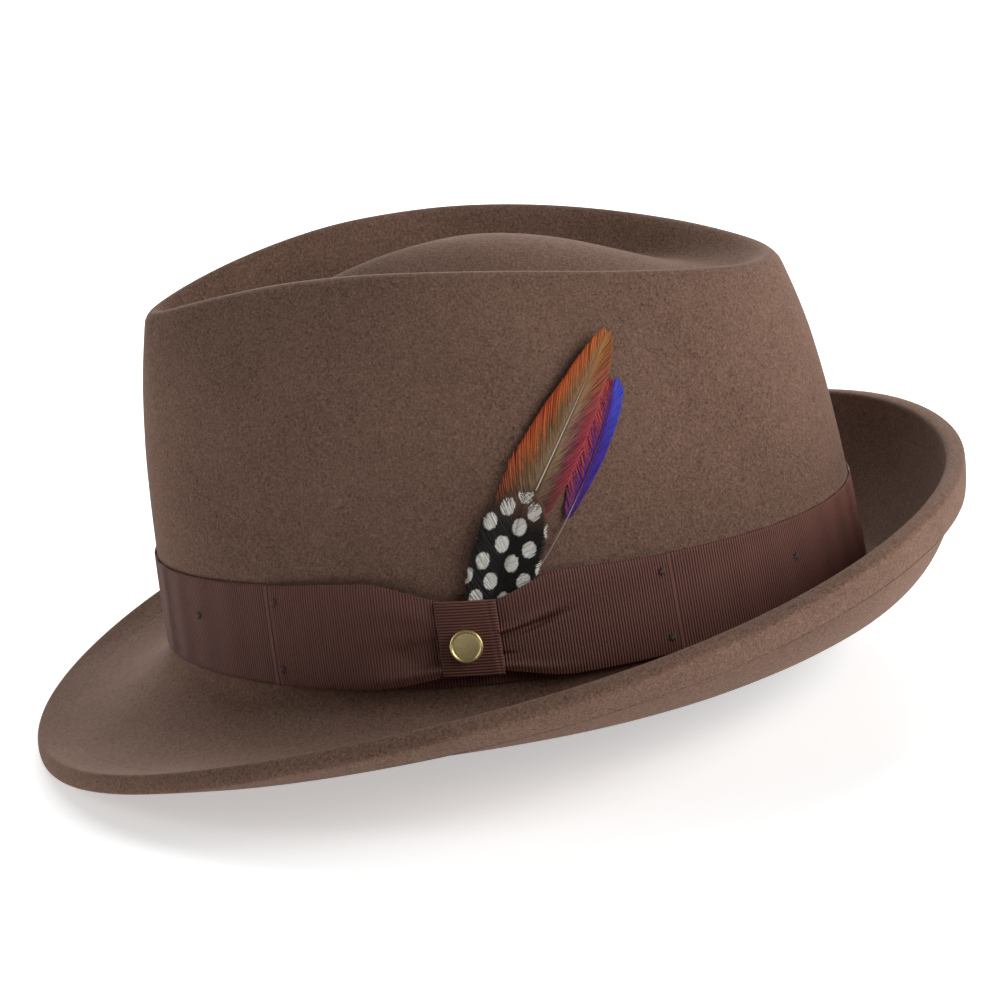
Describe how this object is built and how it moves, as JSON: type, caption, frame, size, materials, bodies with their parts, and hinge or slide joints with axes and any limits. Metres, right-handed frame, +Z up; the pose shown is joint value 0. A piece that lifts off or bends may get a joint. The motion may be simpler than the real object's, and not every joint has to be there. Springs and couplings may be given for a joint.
{
  "type": "fedora hat",
  "caption": "Felt fedora with a welted brim, telescope crown, grosgrain band and bow, brass stud and feather mount.",
  "frame": {"origin": "middle of the head opening, on the plane where the crown turns into the brim", "axes": "+Z up through the crown, front of the hat along -Y, wearer's left side (the bow) along +X"},
  "size_m": [0.293, 0.2813, 0.1366],
  "materials": {
    "felt": "brown wool felt with a short nap",
    "ribbon": "dark brown ribbed grosgrain",
    "brass": "plain brushed brass",
    "spotted_feather": "black vane with pale round spots",
    "amber_feather": "olive tan vane with a red orange edge",
    "violet_feather": "violet vane with a blue edge",
    "thread": "dark brown sewing thread",
    "sweatband_leather": "smooth dark brown leather",
    "reed": "brown taped reed",
    "satin": "brown satin"
  },
  "bodies": {
    "hat": {"felt_body": "felt", "hat_band": "ribbon", "bow_front_wing": "ribbon", "bow_rear_wing": "ribbon", "bow_knot": "ribbon", "stud_cap": "brass", "stud_rivet": "brass", "thread_tacks": "thread", "welt_stitching": "thread", "sweatband": "sweatband_leather", "sweatband_reed": "reed", "sweatband_stitching": "thread", "sweatband_bow": "satin", "lining_side": "satin", "lining_tip": "satin"},
    "feather_mount": {"feather_guinea": "spotted_feather", "feather_amber": "amber_feather", "feather_violet": "violet_feather", "feather_binding": "thread"}
  },
  "joints": [
    {"name": "feather_slide", "type": "slide", "parent": "hat", "child": "feather_mount", "axis": [-0.0763, 0.5254, 0.8474], "range_m": [0, 0.03]}
  ]
}
